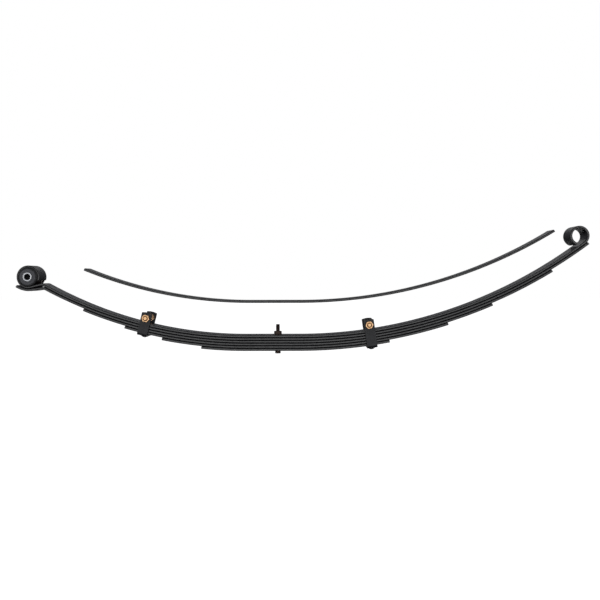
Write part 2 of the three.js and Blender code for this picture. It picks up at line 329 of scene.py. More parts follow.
@dataclass
class Tip:
    """The end of a bar while it is run out from the middle."""

    side: Side
    height: float
    reach: float = 0.0
    heading: float = 0.0

    def run(self, moves: Moves, forging: bool = True) -> "Tip":
        """Runs the bar on over a list of moves.

        Args:
            moves: The straights and bends, in order.
            forging: Whether the selected end face goes along, or the moves are only followed.

        Returns:
            The tip itself, at the end of the moves.
        """
        for move in moves:
            if isinstance(move, Straight):
                self._straight(move, forging)
            else:
                self._bend(move, forging)
        return self

    def _straight(self, move: Straight, forging: bool) -> None:
        """Runs straight on.

        Args:
            move: The straight.
            forging: Whether the selected end face goes along.
        """
        along = math.cos(self.heading) * move.length
        up = math.sin(self.heading) * move.length
        if forging:
            extrude((self.side.value * along, 0, up))
        self.reach += along
        self.height += up

    def _bend(self, move: Bend, forging: bool) -> None:
        """Runs round a bend.

        Args:
            move: The bend.
            forging: Whether the selected end face goes along.
        """
        curl = math.copysign(move.radius, move.angle)
        middle_reach = self.reach - curl * math.sin(self.heading)
        middle_height = self.height + curl * math.cos(self.heading)
        if forging:
            turn = self.side.value * math.copysign(1, move.angle)
            bpy.ops.mesh.spin(
                steps=math.ceil(abs(move.angle) / move.step),
                angle=abs(move.angle),
                center=(self.side.value * middle_reach, 0, middle_height),
                axis=(0, turn, 0),
            )
        self.heading += move.angle
        self.reach = middle_reach + curl * math.sin(self.heading)
        self.height = middle_height - curl * math.cos(self.heading)


@dataclass(frozen=True)
class FlatBar:
    """Flat bar stock, with its long edges rounded by the rolls or left square."""

    width: float
    thickness: float
    edge_round: float = 0.0
    edge_facets: int = 5

    def cross_section(self, name: str, height: float) -> Piece:
        """Adds the bar's section upright at X = 0.

        Args:
            name: The piece's name.
            height: Height of its middle.

        Returns:
            The section as a single face.
        """
        bpy.ops.object.select_all(action="DESELECT")
        bpy.ops.mesh.primitive_plane_add(size=1)
        section = name_new(name)
        section.scale = (self.thickness, self.width, 1)
        section.rotation_euler = (0, math.radians(90), 0)
        section.location = (0, 0, height)
        bpy.ops.object.transform_apply(location=True, rotation=True, scale=True)
        if self.edge_round:
            with edit_mode(section):
                bpy.ops.mesh.bevel(
                    offset=self.edge_round, segments=self.edge_facets, affect="VERTICES",
                    offset_type="OFFSET", clamp_overlap=False,
                )
        return section

    def forge(self, name: str, height: float, front: Moves, rear: Moves) -> Piece:
        """Runs the bar out to both sides of X = 0.

        Args:
            name: The piece's name.
            height: Height of the bar's middle at X = 0.
            front: The moves towards -X.
            rear: The moves towards +X.

        Returns:
            The finished bar, closed at both ends.
        """
        bar = self.cross_section(name, height)
        with edit_mode(bar):
            Tip(Side.REAR, height).run(rear)
            pick_faces(bar, at_middle)
            Tip(Side.FRONT, height).run(front)
            face_outwards()
        return bar


# ---- Finishes ----


def linear(colour: str) -> tuple[float, float, float, float]:
    """Turns an sRGB hex colour to linear light.

    Args:
        colour: The colour as six hex digits.

    Returns:
        Its linear red, green and blue, and full alpha.
    """
    parts = [int(colour[i : i + 2], 16) / 255 for i in (0, 2, 4)]
    light = [part / 12.92 if part <= 0.04045 else ((part + 0.055) / 1.055) ** 2.4 for part in parts]
    return light[0], light[1], light[2], 1.0


def per_size(millimetres: float) -> float:
    """Scale of a pattern whose features are this size."""
    return 1 / (millimetres * MM)


def add_node(
    tree: Tree, kind: str, inputs: dict[str | int, object] | None = None, **settings: object,
) -> bpy.types.Node:
    """Adds a node with its settings, its values and its links.

    Args:
        tree: The material's or the world's nodes.
        kind: The node's type.
        inputs: A value or another node's output for each input that isn't left alone.
        **settings: The node's own settings.

    Returns:
        The node.
    """
    node = tree.nodes.new(kind)
    for name, value in settings.items():
        setattr(node, name, value)
    for name, value in (inputs or {}).items():
        if isinstance(value, Socket):
            tree.links.new(value, node.inputs[name])
        else:
            node.inputs[name].default_value = value
    return node


@dataclass(frozen=True)
class Patches:
    """A value that wanders from patch to patch, with the size of a patch in millimetres."""

    size: float
    detail: float = 3.0
    values: tuple[float, float] = (0.0, 1.0)
    spread: tuple[float, float] = (0.3, 0.7)

    def lay(self, tree: Tree, place: Socket) -> Socket:
        """Lays the patches.

        Args:
            tree: The material's nodes.
            place: Object coordinates.

        Returns:
            The value.
        """
        noise = add_node(tree, "ShaderNodeTexNoise", {
            "Vector": place, "Scale": per_size(self.size), "Detail": self.detail,
        })
        return add_node(tree, "ShaderNodeMapRange", {
            "Value": noise.outputs["Fac"], "From Min": self.spread[0], "From Max": self.spread[1],
            "To Min": self.values[0], "To Max": self.values[1],
        }).outputs["Result"]


@dataclass(frozen=True)
class Tint:
    """A colour that comes through in patches."""

    colour: str
    patches: Patches


@dataclass(frozen=True)
class Grain:
    """A relief in the surface, its size and height in millimetres, stretched along the spring or not."""

    size: float
    detail: float
    strength: float
    height: float
    stretch: float = 1.0


@dataclass(frozen=True)
class Finish:
    """What every finish has: a colour with tints over it, grains over each other, and a gloss."""

    base: str
    tints: tuple[Tint, ...]
    grains: tuple[Grain, ...]
    gloss: Patches
    metal: float = 0.0
    ior: float = 1.5

    def material(self, name: str, centre: Vector | None = None) -> bpy.types.Material:
        """Makes the finish's material.

        Args:
            name: The material's name.
            centre: A point on the piece's own axis, for a pattern that runs round it.

        Returns:
            The material.
        """
        made = bpy.data.materials.new(name)
        made.use_nodes = True
        tree = made.node_tree
        tree.nodes.clear()
        place = add_node(tree, "ShaderNodeTexCoord").outputs["Object"]
        if centre is not None:
            shift = {"Vector": place, "Location": -centre}
            place = add_node(tree, "ShaderNodeMapping", shift).outputs["Vector"]
        substance = {"Metallic": self.metal} if self.metal else {"IOR": self.ior}
        shader = add_node(tree, "ShaderNodeBsdfPrincipled", {
            "Base Color": self.colour(tree, place), **self.surface(tree, place), **substance,
        })
        add_node(tree, "ShaderNodeOutputMaterial", {"Surface": shader.outputs["BSDF"]})
        return made

    def colour(self, tree: Tree, place: Socket) -> Socket:
        """Lays the tints over the base colour.

        Args:
            tree: The material's nodes.
            place: Object coordinates.

        Returns:
            The colour.
        """
        colour = linear(self.base)
        for tint in self.tints:
            colour = add_node(tree, "ShaderNodeMix", {
                SHARE: tint.patches.lay(tree, place), FIRST: colour, SECOND: linear(tint.colour),
            }, data_type="RGBA").outputs[MIXED]
        return colour

    def surface(self, tree: Tree, place: Socket) -> dict[str, Socket]:
        """Lays the grains over each other, and the gloss.

        Args:
            tree: The material's nodes.
            place: Object coordinates.

        Returns:
            The shader's normal and roughness.
        """
        normal: dict[str, Socket] = {}
        for grain in self.grains:
            along = add_node(tree, "ShaderNodeMapping", {
                "Vector": place, "Scale": (1 / grain.stretch, 1, 1),
            })
            noise = add_node(tree, "ShaderNodeTexNoise", {
                "Vector": along.outputs["Vector"], "Scale": per_size(grain.size), "Detail": grain.detail,
            })
            bump = add_node(tree, "ShaderNodeBump", {
                "Height": noise.outputs["Fac"], "Strength": grain.strength, "Distance": grain.height * MM,
                **normal,
            })
            normal = {"Normal": bump.outputs["Normal"]}
        return {"Roughness": self.gloss.lay(tree, place), **normal}


@dataclass(frozen=True)
class LeafPaint(Finish):
    """Semi-gloss black chassis paint sprayed over rolled spring steel."""

    base: str = "121317"
    # Spray drifts: the film is a little greyer in patches of about 60 mm
    tints: tuple[Tint, ...] = (Tint("1d1e22", Patches(60)),)
    # Mill scale ripples over 12 mm, four times as long along the bar, and orange peel over 1.5 mm
    grains: tuple[Grain, ...] = (Grain(12, 2.0, 0.1, 0.3, stretch=4), Grain(1.5, 2.0, 0.07, 0.05))
    # Gloss wanders over about 9 mm
    gloss: Patches = Patches(9, values=(0.27, 0.35))
    ior: float = 1.58
    # A lighter grey painted on sharp corners as a highlight
    painted_edge_highlight: str = "3c3d40"

    def colour(self, tree: Tree, place: Socket) -> Socket:
        """Lightens sharp corners to a grey as a painted highlight, which reads as a fine line.

        Args:
            tree: The material's nodes.
            place: Object coordinates.

        Returns:
            The colour.
        """
        corners = add_node(tree, "ShaderNodeNewGeometry")
        # Share of the painted highlight, by how sharp a corner is
        thin = add_node(tree, "ShaderNodeMapRange", {
            "Value": corners.outputs["Pointiness"], "From Min": 0.53, "From Max": 0.62, "To Max": 0.5,
        })
        return add_node(tree, "ShaderNodeMix", {
            SHARE: thin.outputs["Result"], FIRST: super().colour(tree, place),
            SECOND: linear(self.painted_edge_highlight),
        }, data_type="RGBA").outputs[MIXED]


@dataclass(frozen=True)
class ClipPaint(Finish):
    """Satin black powder coat over sheared mild steel."""

    base: str = "222327"
    # The coat is thicker in patches of about 7 mm
    tints: tuple[Tint, ...] = (Tint("333438", Patches(7)),)
    # Baked powder grains are about 0.3 mm, drawn at 0.9 mm so that they show
    grains: tuple[Grain, ...] = (Grain(0.9, 4.0, 0.3, 0.1),)
    gloss: Patches = Patches(0.9, 4.0, (0.46, 0.58))


@dataclass(frozen=True)
class PhosphatedSteel(Finish):
    """Manganese-phosphated and oiled steel."""

    base: str = "241f1d"
    # Crystals are a few hundredths of a millimetre and cluster in brown blotches of about 1.2 mm
    tints: tuple[Tint, ...] = (Tint("50423c", Patches(1.2, 5.0)),)
    grains: tuple[Grain, ...] = (Grain(1.2, 5.0, 0.2, 0.06),)
    gloss: Patches = Patches(1.2, 5.0, (0.38, 0.52))
    metal: float = 0.85


@dataclass(frozen=True)
class YellowZinc(Finish):
    """Zinc plate with a yellow chromate film."""

    base: str = "d3a475"
    # The film drifts to pale gold over about 6 mm, and to rose in drops of about 3.5 mm where it pooled
    tints: tuple[Tint, ...] = (
        Tint("e6c296", Patches(6)),
        Tint("bd8669", Patches(3.5, 2.0, (0.0, 0.7), (0.55, 0.75))),
    )
    # The plate's grain is about 0.6 mm
    grains: tuple[Grain, ...] = (Grain(0.6, 3.0, 0.1, 0.04),)
    gloss: Patches = Patches(0.6, values=(0.3, 0.4))
    metal: float = 0.9


def from_axis(tree: Tree, place: Socket) -> Socket:
    """Measures how far a point is from the Y axis.

    Args:
        tree: The material's nodes.
        place: Coordinates centred on the axis.

    Returns:
        The distance.
    """
    across = add_node(tree, "ShaderNodeMapping", {"Vector": place, "Scale": (1, 0, 1)})
    radius = add_node(tree, "ShaderNodeVectorMath", {0: across.outputs["Vector"]}, operation="LENGTH")
    return radius.outputs["Value"]


@dataclass(frozen=True)
class BrightZinc(Finish):
    """Bright zinc plate over a turned steel tube."""

    base: str = "c6c8cb"
    # The plate clouds over in patches of about 6 mm
    tints: tuple[Tint, ...] = (Tint("adb0b4", Patches(6)),)
    grains: tuple[Grain, ...] = ()
    # Tool marks are 0.15 mm apart, drawn 0.5 mm apart so that they show, and the gloss follows them
    gloss: Patches = Patches(0.5, values=(0.3, 0.4))
    metal: float = 0.9
    # Near black painted into the bore as shade, fading out towards the broken edge
    painted_bore_shade: str = "17171a"
    bore_radius: float = 7.3 * MM
    bore_shade_end: float = 8.2 * MM

    def colour(self, tree: Tree, place: Socket) -> Socket:
        """Paints the bore near black as shade inside the tube, fading to the plate over its broken edge.

        Args:
            tree: The material's nodes.
            place: Coordinates centred on the tube's axis, which is along Y.

        Returns:
            The colour.
        """
        outside_bore_shade = add_node(tree, "ShaderNodeMapRange", {
            "Value": from_axis(tree, place), "From Min": self.bore_radius, "From Max": self.bore_shade_end,
        })
        return add_node(tree, "ShaderNodeMix", {
            SHARE: outside_bore_shade.outputs["Result"], FIRST: linear(self.painted_bore_shade),
            SECOND: super().colour(tree, place),
        }, data_type="RGBA").outputs[MIXED]

    def surface(self, tree: Tree, place: Socket) -> dict[str, Socket]:
        """Lays the fine rings that the lathe leaves, which the gloss follows.

        Args:
            tree: The material's nodes.
            place: Coordinates centred on the tube's axis, which is along Y.

        Returns:
            The shader's normal and roughness.
        """
        marks = add_node(tree, "ShaderNodeTexWave", {
            "Vector": place, "Scale": per_size(self.gloss.size) / WAVE_LINES, "Distortion": 0.4,
            "Detail": 1.0,
        }, wave_type="RINGS", rings_direction="Y")
        bump = add_node(tree, "ShaderNodeBump", {
            "Height": marks.outputs["Fac"], "Strength": 0.06, "Distance": 0.02 * MM,
        })
        rough = add_node(tree, "ShaderNodeMapRange", {
            "Value": marks.outputs["Fac"], "To Min": self.gloss.values[0], "To Max": self.gloss.values[1],
        })
        return {"Roughness": rough.outputs["Result"], "Normal": bump.outputs["Normal"]}


@dataclass(frozen=True)
class MouldedRubber(Finish):
    """Natural rubber moulded onto the bush's tubes."""

    base: str = "1d1e20"
    # Wax blooms in patches of about 5 mm
    tints: tuple[Tint, ...] = (Tint("6c6d72", Patches(5, values=(0.75, 1.15))),)
    # A blasted mould leaves a grain of about 0.4 mm, drawn at 0.8 mm so that it shows
    grains: tuple[Grain, ...] = (Grain(0.8, 4.0, 0.25, 0.1),)
    gloss: Patches = Patches(5, values=(0.55, 0.7))
    ior: float = 1.52
    # Outside this radius the rim keeps the near-black base as painted shade of its rounding
    shaded_rim_radius: float = 20.2 * MM
    shaded_rim_blend: float = 1.5 * MM
    most_bloom: float = 0.95

    def colour(self, tree: Tree, place: Socket) -> Socket:
        """Lets the wax bloom pale on the disc only, and leaves the rounded rim near black as painted shade.

        Args:
            tree: The material's nodes.
            place: Coordinates centred on the bush's axis, which is along Y.

        Returns:
            The colour.
        """
        disc = add_node(tree, "ShaderNodeMapRange", {
            "Value": from_axis(tree, place), "From Min": self.shaded_rim_radius - self.shaded_rim_blend,
            "From Max": self.shaded_rim_radius + self.shaded_rim_blend, "To Min": self.most_bloom, "To Max": 0.0,
        })
        (bloom,) = self.tints
        share = add_node(tree, "ShaderNodeMath", {
            0: disc.outputs["Result"], 1: bloom.patches.lay(tree, place),
        }, operation="MULTIPLY")
        return add_node(tree, "ShaderNodeMix", {
            SHARE: share.outputs["Value"], FIRST: linear(self.base), SECOND: linear(bloom.colour),
        }, data_type="RGBA").outputs[MIXED]


@dataclass(frozen=True)
class Dress:
    """A material and the name of the slot that it belongs to."""

    material: bpy.types.Material
    slot: str


@dataclass
class PaintShop:
    """The finishes of the whole spring, each made once."""

    leaf: Dress = field(init=False)
    clip: Dress = field(init=False)
    dark_steel: Dress = field(init=False)
    bright_zinc: Dress = field(init=False)
    yellow_zinc: Dress = field(init=False)
    dull_yellow_zinc: Dress = field(init=False)
    rubber: Dress = field(init=False)

    def __post_init__(self) -> None:
        """Makes the materials."""
        low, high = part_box("front_bush_inner_sleeve")
        bush_centre = (low + high) / 2
        self.leaf = Dress(LeafPaint().material("semi_gloss_black_leaf_paint"), "leaf_paint")
        self.clip = Dress(ClipPaint().material("satin_black_powder_coat"), "clip_paint")
        self.dark_steel = Dress(PhosphatedSteel().material("phosphated_steel"), "dark_steel")
        self.bright_zinc = Dress(BrightZinc().material("bright_zinc_plate", bush_centre), "bright_zinc")
        self.yellow_zinc = Dress(YellowZinc().material("yellow_chromated_zinc"), "yellow_zinc")
        # The spacers are cut from rough tube, which takes a duller plate than the bolts
        dull = YellowZinc(metal=0.5, gloss=Patches(0.6, values=(0.55, 0.7)))
        self.dull_yellow_zinc = Dress(dull.material("dull_yellow_chromated_zinc"), "yellow_zinc")
        self.rubber = Dress(MouldedRubber().material("moulded_rubber", bush_centre), "bush_rubber")


def hand_over(piece: Piece, node: str, body: Body, dress: Dress) -> None:
    """Dresses a finished piece, lets it stand for its CAD node and reports it.

    Args:
        piece: The finished piece.
        node: The CAD node that it stands for.
        body: The body that it rides on.
        dress: Its material and slot.
    """
    shade(piece)
    piece.data.materials.clear()
    piece.data.materials.append(dress.material)
    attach(piece, body.value)
    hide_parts(node)
    corners = [Vector(corner) for corner in piece.bound_box]
    off = 0.0
    for axis in range(3):
        run = [corner[axis] for corner in corners]
        low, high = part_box(node)
        off = max(off, abs(min(run) - low[axis]), abs(max(run) - high[axis]))
    LOG.info("%s: %d faces, box within %.2f mm of its node", node, len(piece.data.polygons), off / MM)


# ---- Leaves ----


@dataclass(frozen=True)
class HalfLeaf:
    """A half leaf's flat seat, and the radius of the upper face of the leaf on top."""

    seat: float
    radius: float
    step: float = math.radians(0.5)

    def moves(self, depth: float, reach: float) -> Moves:
        """Gives the moves of a plain half leaf.

        Args:
            depth: How far its centre line lies below the face that the radius is for.
            reach: How far it goes from the centre bolt.

        Returns:
            The seat and the arc.
        """
        radius = self.radius + depth
        return [Straight(self.seat), Bend(radius, math.asin((reach - self.seat) / radius), self.step)]

    def slope(self, reach: float) -> float:
        """Slope of the upper face at a reach."""
        return math.asin((reach - self.seat) / self.radius)


@dataclass
class LeafPack:
    """The six leaves, from the main leaf with its two eyes down to the sixth."""

    width: float = 63.5 * MM
    thickness: float = 6.35 * MM
    fit_gap: float = 0.3 * MM
    edge_round: float = 2.0 * MM
    end_edge: float = 0.35 * MM
    bolt_hole: float = 10.6 * MM
    rivet_hole: float = 8.6 * MM
    names: tuple[str, ...] = (
        "main_leaf", "second_leaf", "third_leaf", "fourth_leaf", "fifth_leaf", "sixth_leaf",
    )
    front: HalfLeaf = HalfLeaf(80 * MM, 1046 * MM)
    rear: HalfLeaf = HalfLeaf(55 * MM, 1207 * MM)
    front_reaches: tuple[float, ...] = (486 * MM, 382.5 * MM, 289.5 * MM, 191 * MM)
    rear_reaches: tuple[float, ...] = (688 * MM, 538.5 * MM, 427.5 * MM, 281 * MM)
    bend_step: float = math.radians(5)
    front_eye_reach: float = 624 * MM
    front_eye_bore: float = 45 * MM
    front_eye_approach: float = 27 * MM
    front_eye_fall: float = math.radians(12.5)
    front_eye_bend: float = 10 * MM
    front_eye_roll: float = math.radians(300)
    rear_eye_reach: float = 756.8 * MM
    rear_eye_bore: float = 36.9 * MM
    rear_eye_roll: float = math.radians(304)
    second_leaf_rear_reach: float = 779 * MM
    wrap_radius: float = 56 * MM
    wrap_offset: float = 1.5 * MM
    wrap_fall: float = math.radians(7.5)
    wrap_bend: float = 12 * MM
    wrap_rise: float = math.radians(34)

    @property
    def pitch(self) -> float:
        """From one leaf to the next."""
        return self.thickness + self.fit_gap

    @property
    def height(self) -> float:
        """Height of the main leaf's upper face at the centre bolt."""
        return len(self.names) * self.pitch - self.fit_gap

    @property
    def front_eye_radius(self) -> float:
        """Radius of the front eye's centre line."""
        return (self.front_eye_bore + self.thickness) / 2

    def depth(self, name: str) -> float:
        """How far a leaf's centre line lies below the main leaf's upper face."""
        return self.names.index(name) * self.pitch + self.thickness / 2

    def main_front(self) -> Moves:
        """Gives the main leaf's moves to the end of the front eye.

        Returns:
            Seat, arc, bend, straight fall and the roll of the eye.
        """
        radius = self.front.radius + self.depth("main_leaf")
        fall = self.front_eye_fall
        tail = self.front_eye_approach * math.cos(fall)
        tail += (self.front_eye_bend + self.front_eye_radius) * math.sin(fall)
        arc = math.asin((self.front_eye_reach - self.front.seat - tail) / (radius + self.front_eye_bend))
        return [
            Straight(self.front.seat),
            Bend(radius, arc, self.front.step),
            Bend(self.front_eye_bend, -arc - fall, self.bend_step),
            Straight(self.front_eye_approach),
            Bend(self.front_eye_radius, self.front_eye_roll, self.bend_step),
        ]

    def main_rear(self) -> Moves:
        """Gives the main leaf's moves to the end of the rear eye.

        Returns:
            Seat, arc and the roll of the eye.
        """
        radius = self.rear.radius + self.depth("main_leaf")
        eye_radius = (self.rear_eye_bore + self.thickness) / 2
        arc = math.asin((self.rear_eye_reach - self.rear.seat) / (radius - eye_radius))
        return [
            Straight(self.rear.seat),
            Bend(radius, arc, self.rear.step),
            Bend(eye_radius, self.rear_eye_roll, self.bend_step),
        ]

    def second_front(self) -> Moves:
        """Gives the second leaf's moves to the end of its wrap, a loose cradle below the front eye.

        Returns:
            Seat, arc, bend, straight fall and the curl of the wrap.
        """
        depth = self.depth("second_leaf")
        height = self.height - depth
        start = self.height - self.depth("main_leaf")
        eye = Tip(Side.FRONT, start).run(self.main_front()[:-1], forging=False)
        eye_height = eye.height + self.front_eye_radius * math.cos(self.front_eye_fall)
        cradle_reach = self.front_eye_reach - self.wrap_offset
        cradle_height = eye_height - self.front_eye_radius - self.pitch + self.wrap_radius
        fall = self.wrap_fall
        radius = self.front.radius + depth
        arm = radius + self.wrap_bend
        hang = self.wrap_bend + self.wrap_radius
        out = cradle_reach - self.front.seat - hang * math.sin(fall)
        up = arm - (cradle_height - height - hang * math.cos(fall) + self.wrap_bend)
        half = out * math.cos(fall) + up * math.sin(fall)
        length = half - math.sqrt(half**2 - (out**2 + up**2 - arm**2))
        arc = math.asin((out - length * math.cos(fall)) / arm)
        return [
            Straight(self.front.seat),
            Bend(radius, arc, self.front.step),
            Bend(self.wrap_bend, -arc - fall, self.bend_step),
            Straight(length),
            Bend(self.wrap_radius, fall + self.wrap_rise, self.bend_step / 2),
        ]

    def moves(self, name: str) -> tuple[Moves, Moves]:
        """Gives a leaf's moves to the front and to the rear.

        Args:
            name: The leaf.

        Returns:
            The moves of its two halves.
        """
        depth = self.depth(name)
        if name == "main_leaf":
            return self.main_front(), self.main_rear()
        if name == "second_leaf":
            return self.second_front(), self.rear.moves(depth, self.second_leaf_rear_reach)
        step = self.names.index(name) - 2
        return (
            self.front.moves(depth, self.front_reaches[step]),
            self.rear.moves(depth, self.rear_reaches[step]),
        )

    def build(self, shop: PaintShop, clips: list["ReboundClip"]) -> None:
        """Forges, drills and paints the six leaves.

        Args:
            shop: The finishes.
            clips: The clips, whose rivets go through some of the leaves.
        """
        stock = FlatBar(self.width, self.thickness, self.edge_round)
        for name in self.names:
            middle = self.height - self.depth(name)
            leaf = stock.forge(f"{name}_bar", middle, *self.moves(name))
            low, high = middle - self.thickness / 2, middle + self.thickness / 2
            drill(leaf, self.bolt_hole, low, high, Matrix.Identity(4), self.end_edge)
            for clip in clips:
                if clip.riveted_leaf == name:
                    top = -self.depth(name) + self.thickness / 2
                    drill(leaf, self.rivet_hole, top - self.thickness, top, clip.place(), self.end_edge)
            break_edges(leaf, self.end_edge)
            hand_over(leaf, name, Body.PACK, shop.leaf)


@dataclass
class AddOnLeaf:
    """The loose leaf that is fitted on top of the pack, drilled for the centre bolt."""

    pack: LeafPack
    lift: float = 80.6 * MM
    front: HalfLeaf = HalfLeaf(67.5 * MM, 1098.7 * MM)
    rear: HalfLeaf = HalfLeaf(58.5 * MM, 1226.6 * MM)
    front_reach: float = 483.5 * MM
    rear_reach: float = 693.5 * MM

    def build(self, shop: PaintShop) -> None:
        """Forges, drills and paints the leaf.

        Args:
            shop: The finishes.
        """
        pack = self.pack
        stock = FlatBar(pack.width, pack.thickness, pack.edge_round)
        depth = pack.thickness / 2
        low = pack.height + self.lift
        leaf = stock.forge(
            "add_on_leaf_bar", low + depth,
            self.front.moves(depth, self.front_reach), self.rear.moves(depth, self.rear_reach),
        )
        drill(leaf, pack.bolt_hole, low, low + pack.thickness, Matrix.Identity(4), pack.end_edge)
        break_edges(leaf, pack.end_edge)
        hand_over(leaf, "add_on_leaf", Body.ADD_ON, shop.leaf)


# ---- Fasteners ----


@dataclass
class MetricFasteners:
    """M10 bolts and nuts, made standing on the Z axis."""

    diameter: float = 10 * MM
    pitch: float = 1.5 * MM
    thread_depth: float = 0.65 * MM
    across_flats: float = 17 * MM
    face_diameter: float = 18.4 * MM
    nut_height: float = 8.4 * MM
    head_height: float = 6.4 * MM
    nut_bore: float = 10.3 * MM
    nut_sink: float = 1.5 * MM
    tip_chamfer: float = 1.3 * MM
    run_out: float = 0.5 * MM
    hexagon_edge: float = 0.25 * MM
    chamfer_angle: float = math.radians(30)
    flank_angle: float = math.radians(30)
    steps_round: int = 40

    def envelope(self, low: float, high: float, chamfer_low: bool) -> Piece:
        """Makes the round shape that a hexagon is chamfered to.

        Args:
            low: Height of its lower face.
            high: Height of its upper face.
            chamfer_low: Whether the lower face is chamfered as well.

        Returns:
            The shape, used up by carve().
        """
        face = self.face_diameter / 2
        wide = self.across_flats / math.sqrt(3) + PAST
        sink = (wide - face) * math.tan(self.chamfer_angle)
        bottom = [(face, low), (wide, low + sink)] if chamfer_low else [(wide, low)]
        return turned("envelope", [*bottom, (wide, high - sink), (face, high)], TUBE_SIDES)

    def hexagon(self, name: str, low: float, high: float, chamfer_low: bool) -> Piece:
        """Makes a hexagon with two corners along X, chamfered at its faces.

        Args:
            name: The piece's name.
            low: Height of its lower face.
            high: Height of its upper face.
            chamfer_low: Whether the lower face is chamfered as well.

        Returns:
            The hexagon.
        """
        bpy.ops.object.select_all(action="DESELECT")
        bpy.ops.mesh.primitive_cylinder_add(
            vertices=6, radius=self.across_flats / math.sqrt(3), depth=high - low,
            location=(0, 0, (low + high) / 2), rotation=(0, 0, math.radians(30)),
        )
        piece = name_new(name)
        bpy.ops.object.transform_apply(location=True, rotation=True, scale=True)
        break_edges(piece, self.hexagon_edge)
        carve(piece, self.envelope(low, high, chamfer_low), Cut.KEEP_SHARED)
        return piece

    def nut(self, name: str) -> Piece:
        """Makes a nut with countersunk thread ends.

        Args:
            name: The piece's name.

        Returns:
            The nut, with its lower face at the origin.
        """
        piece = self.hexagon(name, 0, self.nut_height, chamfer_low=True)
        drill(piece, self.nut_bore, 0, self.nut_height, Matrix.Identity(4), self.nut_sink)
        return piece

    def thread(self, low: float, high: float) -> Piece:
        """Cuts a length of thread with a chamfered upper end.

        Args:
            low: Height of its lower end.
            high: Height of its upper end.

        Returns:
            The threaded length, closed at both ends.
        """
        crest = self.diameter / 2
        root = crest - self.thread_depth
        flank = self.thread_depth * math.tan(self.flank_angle)
        flat = (self.pitch - 2 * flank) / 2
        start = low - 2 * self.pitch
        outline = [(crest - root, flank), (0, flat), (root - crest, flank), (0, flat)]
        bpy.ops.object.select_all(action="DESELECT")
        bpy.ops.mesh.primitive_plane_add(size=MM)
        piece = name_new("thread")
        with edit_mode(piece):
            bpy.ops.mesh.merge(type="CENTER")
            bpy.ops.transform.translate(value=(root, 0, start))
            for outwards, up in outline:
                extrude((outwards, 0, up))
        turns = math.ceil((high - low) / self.pitch) + 3
        apply_modifier(
            piece, "SCREW", axis="Z", screw_offset=self.pitch, iterations=turns, steps=self.steps_round,
            render_steps=self.steps_round, use_merge_vertices=True, merge_threshold=TOUCH,
        )
        with edit_mode(piece):
            bpy.ops.mesh.remove_doubles(threshold=TOUCH)
            for height, below in ((low - self.pitch / 2, True), (high + self.pitch / 2, False)):
                bpy.ops.mesh.select_all(action="SELECT")
                bpy.ops.mesh.bisect(
                    plane_co=(0, 0, height), plane_no=(0, 0, 1), use_fill=True,
                    clear_inner=below, clear_outer=not below,
                )
            face_outwards()
        spare = 0.5 * MM
        wide = crest + spare
        shape = [(wide, low), (wide, high - self.tip_chamfer - spare), (crest - self.tip_chamfer, high)]
        carve(piece, turned("thread_envelope", shape, SMALL_SIDES), Cut.KEEP_SHARED)
        return piece


@dataclass
class CentreBolt:
    """The bolt that holds the pack together, its round head below and a long stud above the nut."""

    pack: LeafPack
    fasteners: MetricFasteners
    head_diameter: float = 14 * MM
    head_height: float = 8 * MM
    head_edge: float = 1 * MM
    head_top_edge: float = 0.3 * MM
    stud_height: float = 26 * MM
    thread_below_nut: float = 6 * MM

    def build(self, shop: PaintShop) -> None:
        """Makes the bolt and its nut.

        Args:
            shop: The finishes.
        """
        gap = self.pack.fit_gap
        top = self.pack.height + self.stud_height
        thread_start = self.pack.height - self.thread_below_nut
        head = self.head_diameter / 2
        shank = self.fasteners.diameter / 2
        bottom = -gap - self.head_height
        rounding = 0.3 * self.head_edge
        flat_ring = 2 * MM
        rings = [
            (head - self.head_edge - flat_ring, bottom),
            (head - self.head_edge, bottom),
            (head - rounding, bottom + rounding),
            (head, bottom + self.head_edge),
            (head, -gap - self.head_top_edge),
            (head - self.head_top_edge, -gap),
            (shank, -gap),
            (shank, thread_start),
            (shank - self.fasteners.thread_depth, thread_start + self.fasteners.run_out),
        ]
        bolt = turned("centre_bolt_threaded", rings, SMALL_SIDES)
        carve(bolt, self.fasteners.thread(thread_start, top), Cut.ADD)
        hand_over(bolt, "centre_bolt", Body.PACK, shop.dark_steel)

        nut = self.fasteners.nut("centre_nut_chamfered")
        settle(nut, Matrix.Translation((0, 0, self.pack.height + gap)))
        hand_over(nut, "centre_nut", Body.PACK, shop.dark_steel)


# ---- Clips ----


